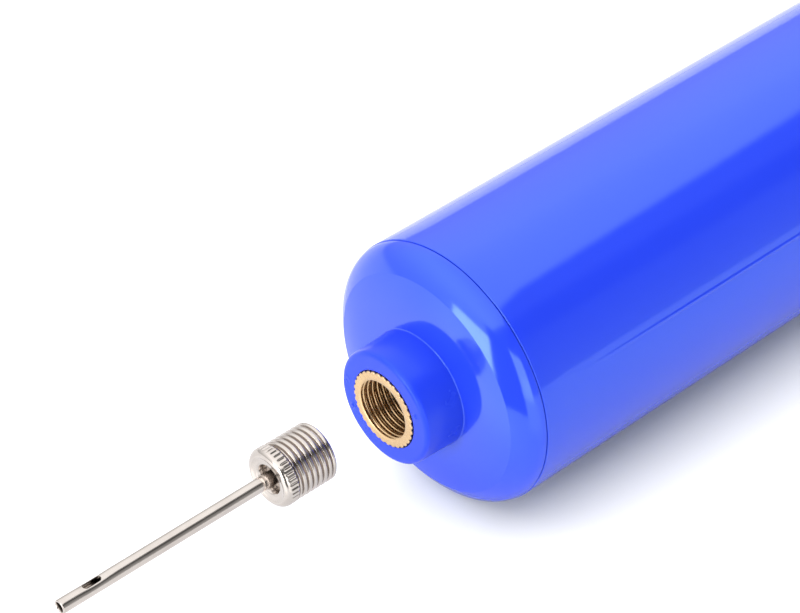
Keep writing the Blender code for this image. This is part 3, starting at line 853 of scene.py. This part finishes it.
# The studio, as a mirror would see it. A white ceiling and back wall end along two slanted planes,
# and the rest is dim, with a darker band below the ceiling's edge.
WHITE_EDGE = (-0.517, 0.684, 0.511)
WHITE_SIDE = (0.032, 0.825, 0.564)
DARK_BAND = (-0.055, 0.729, 0.682)
# Brightness of the white part from low down to high up, of the dim part from high up to low down,
# and of the darker band.
WHITE_LEVELS = (0.66, 1.65)
DIM_LEVELS = (0.30, 0.70)
BAND_LEVEL = 0.12
# Cards that stand in front of all that: azimuth from +X towards +Y, elevation, half width, half
# height and softness in degrees, and brightness.
DARK_CARD = (-150, 6, 16, 26, 3, 0.12)
WINDOWS = (
    (-121, 11.5, 14, 17.5, 2.5, 2.6),
    (-118, 3, 11, 8.5, 6, 3.2),
    (178, 3, 14, 17.5, 2.5, 6.4),
)
CARDS = (DARK_CARD, *WINDOWS)
# Glare of the windows on the ground, painted as light that glows from the floor for glossy rays
# only.
PAINTED_GLARE = (
    (-113, -17, 22, 16, 14, 1.8),
    (172, -22, 30, 24, 24, 2.1),
)
# The studio lights matt surfaces this much more than a mirror shows it.
DIFFUSE_GAIN = 1.66
# Share of the ground's own light that a mirror shows. The rest is painted: the painted glare and
# the cards' painted mirror images where they fall, and painted shade elsewhere.
GROUND_SEEN = 0.7
# Half the side of the floor.
FLOOR_REACH = 4000.0


def card(n, direction, azimuth, elevation, half_width, half_height, softness):
    """1 inside a rectangle on the sphere of directions."""
    turn = Matrix.Rotation(math.radians(azimuth), 3, "Z")
    turn = turn @ Matrix.Rotation(-math.radians(elevation), 3, "Y")
    middle, across, upwards = (n.dot(direction, turn.col[k]) for k in range(3))
    inside = n.mapped(middle, 0.0, 0.1, 0.0, 1.0)
    edge = math.radians(softness) / 2
    for value, half in ((across, half_width), (upwards, half_height)):
        half = math.sin(math.radians(half))
        off = n.maths("ABSOLUTE", value)
        within = n.mapped(off, half + edge, half - edge, 0.0, 1.0, True)
        inside = n.maths("MULTIPLY", inside, within)
    return inside


def with_cards(n, direction, value, cards):
    """(brightness, share) of a direction after cards are put in front of what's there."""
    share = 0.0
    for *shape, brightness in cards:
        inside = card(n, direction, *shape)
        value = n.mix_value(inside, value, brightness)
        share = n.maths("MAXIMUM", share, inside)
    return value, share


def studio(n, direction):
    """Brightness of the studio above the ground in a direction."""
    height, back = n.dot(direction, (0, 0, 1)), n.dot(direction, (-1, 0, 0))
    white = n.mapped(n.dot(direction, WHITE_EDGE), -0.05, 0.03, 0.0, 1.0, True)
    side = n.mapped(n.dot(direction, WHITE_SIDE), -0.02, 0.07, 0.0, 1.0, True)
    white = n.maths("MULTIPLY", white, side)
    over = n.mapped(height, 0.05, 0.65, *WHITE_LEVELS)
    over = n.maths("MULTIPLY", over, n.mapped(back, 0.0, 0.9, 1.0, 1.25))
    dim = n.mapped(height, 0.5, -0.1, *DIM_LEVELS)
    band = n.maths("ABSOLUTE", n.dot(direction, DARK_BAND))
    dim = n.mix_value(n.mapped(band, 0.20, 0.06, 0.0, 1.0, True), dim, BAND_LEVEL)
    return with_cards(n, direction, n.mix_value(white, dim, over), CARDS)[0]


def world_light():
    """The studio's light. The camera sees plain white behind the floor's edge."""
    world = bpy.data.worlds.new("studio")
    bpy.context.scene.world = world
    world.use_nodes = True
    world.node_tree.nodes.clear()
    n = Nodes(world.node_tree)
    seen = studio(n, n.place["Generated"])
    rays = n.add("ShaderNodeLightPath").outputs
    lighting = n.mix_value(rays["Is Glossy Ray"], n.maths("MULTIPLY", seen, DIFFUSE_GAIN), seen)
    background = n.add("ShaderNodeBackground")
    n.put(background.inputs["Color"], (1.0, 1.0, 1.0, 1.0))
    n.put(background.inputs["Strength"], n.mix_value(rays["Is Camera Ray"], lighting, 1.0))
    output = n.add("ShaderNodeOutputWorld")
    n.put(output.inputs["Surface"], background.outputs[0])


def add_floor():
    """White paper. What a mirror sees of it is partly painted light: an emission that only glossy
    rays see paints the glare and the cards' mirror images on it, and painted shade elsewhere.
    """
    far, place = FLOOR_REACH, Matrix.Translation((0, 0, -AXIS_HEIGHT))
    points = [(-far, -far, 0), (far, -far, 0), (far, far, 0), (-far, far, 0)]
    floor = add_mesh("floor", points, [(0, 1, 2, 3)], place)
    paper = material("white paper", floor_paper)
    floor.data.materials.append(paper)
    n = Nodes(paper.node_tree)
    incoming = n.add("ShaderNodeNewGeometry").outputs["Incoming"]
    away = n.add("ShaderNodeVectorMath", operation="SCALE")
    n.put(away.inputs[0], incoming)
    n.put(away.inputs["Scale"], -1.0)
    # Painted light: the glare and the cards' mirror images that glossy rays see on the floor, dark
    # elsewhere.
    value, share = with_cards(n, away.outputs[0], 0.0, PAINTED_GLARE + CARDS)
    share = n.maths("MAXIMUM", share, 1.0 - GROUND_SEEN)
    glossy = n.add("ShaderNodeLightPath").outputs["Is Glossy Ray"]
    painted_glow = n.add("ShaderNodeEmission")
    n.put(painted_glow.inputs["Strength"], value)
    both = n.add("ShaderNodeMixShader")
    n.put(both.inputs[0], n.maths("MULTIPLY", glossy, share))
    nodes = paper.node_tree.nodes
    n.put(both.inputs[1], nodes["Principled BSDF"].outputs[0])
    n.put(both.inputs[2], painted_glow.outputs[0])
    n.put(nodes["Material Output"].inputs["Surface"], both.outputs[0])


def add_camera():
    data = bpy.data.cameras.new("camera")
    data.lens = CAMERA_LENS
    data.clip_start = 0.01
    camera = bpy.data.objects.new("camera", data)
    bpy.context.scene.collection.objects.link(camera)
    x, y, z = CAMERA_PLACE
    azimuth, elevation = math.radians(CAMERA_AZIMUTH), math.radians(CAMERA_ELEVATION)
    turn = Matrix.Rotation(azimuth, 4, "Z") @ Matrix.Rotation(math.pi / 2 - elevation, 4, "X")
    turn = turn @ Matrix.Rotation(math.radians(CAMERA_ROLL), 4, "Z")
    camera.matrix_world = Matrix.Translation(Vector((x + SEAM_X, y, z)) * MM) @ turn
    bpy.context.scene.camera = camera


def main():
    make_barrel()
    make_nose_cap()
    make_nozzle_insert()
    make_needle_base()
    make_needle_tube()
    make_rear_end()
    make_rod()
    make_handle()
    make_valve_spring()
    make_inside()
    world_light()
    add_floor()
    add_camera()
    bpy.context.scene.view_settings.view_transform = "Standard"


main()
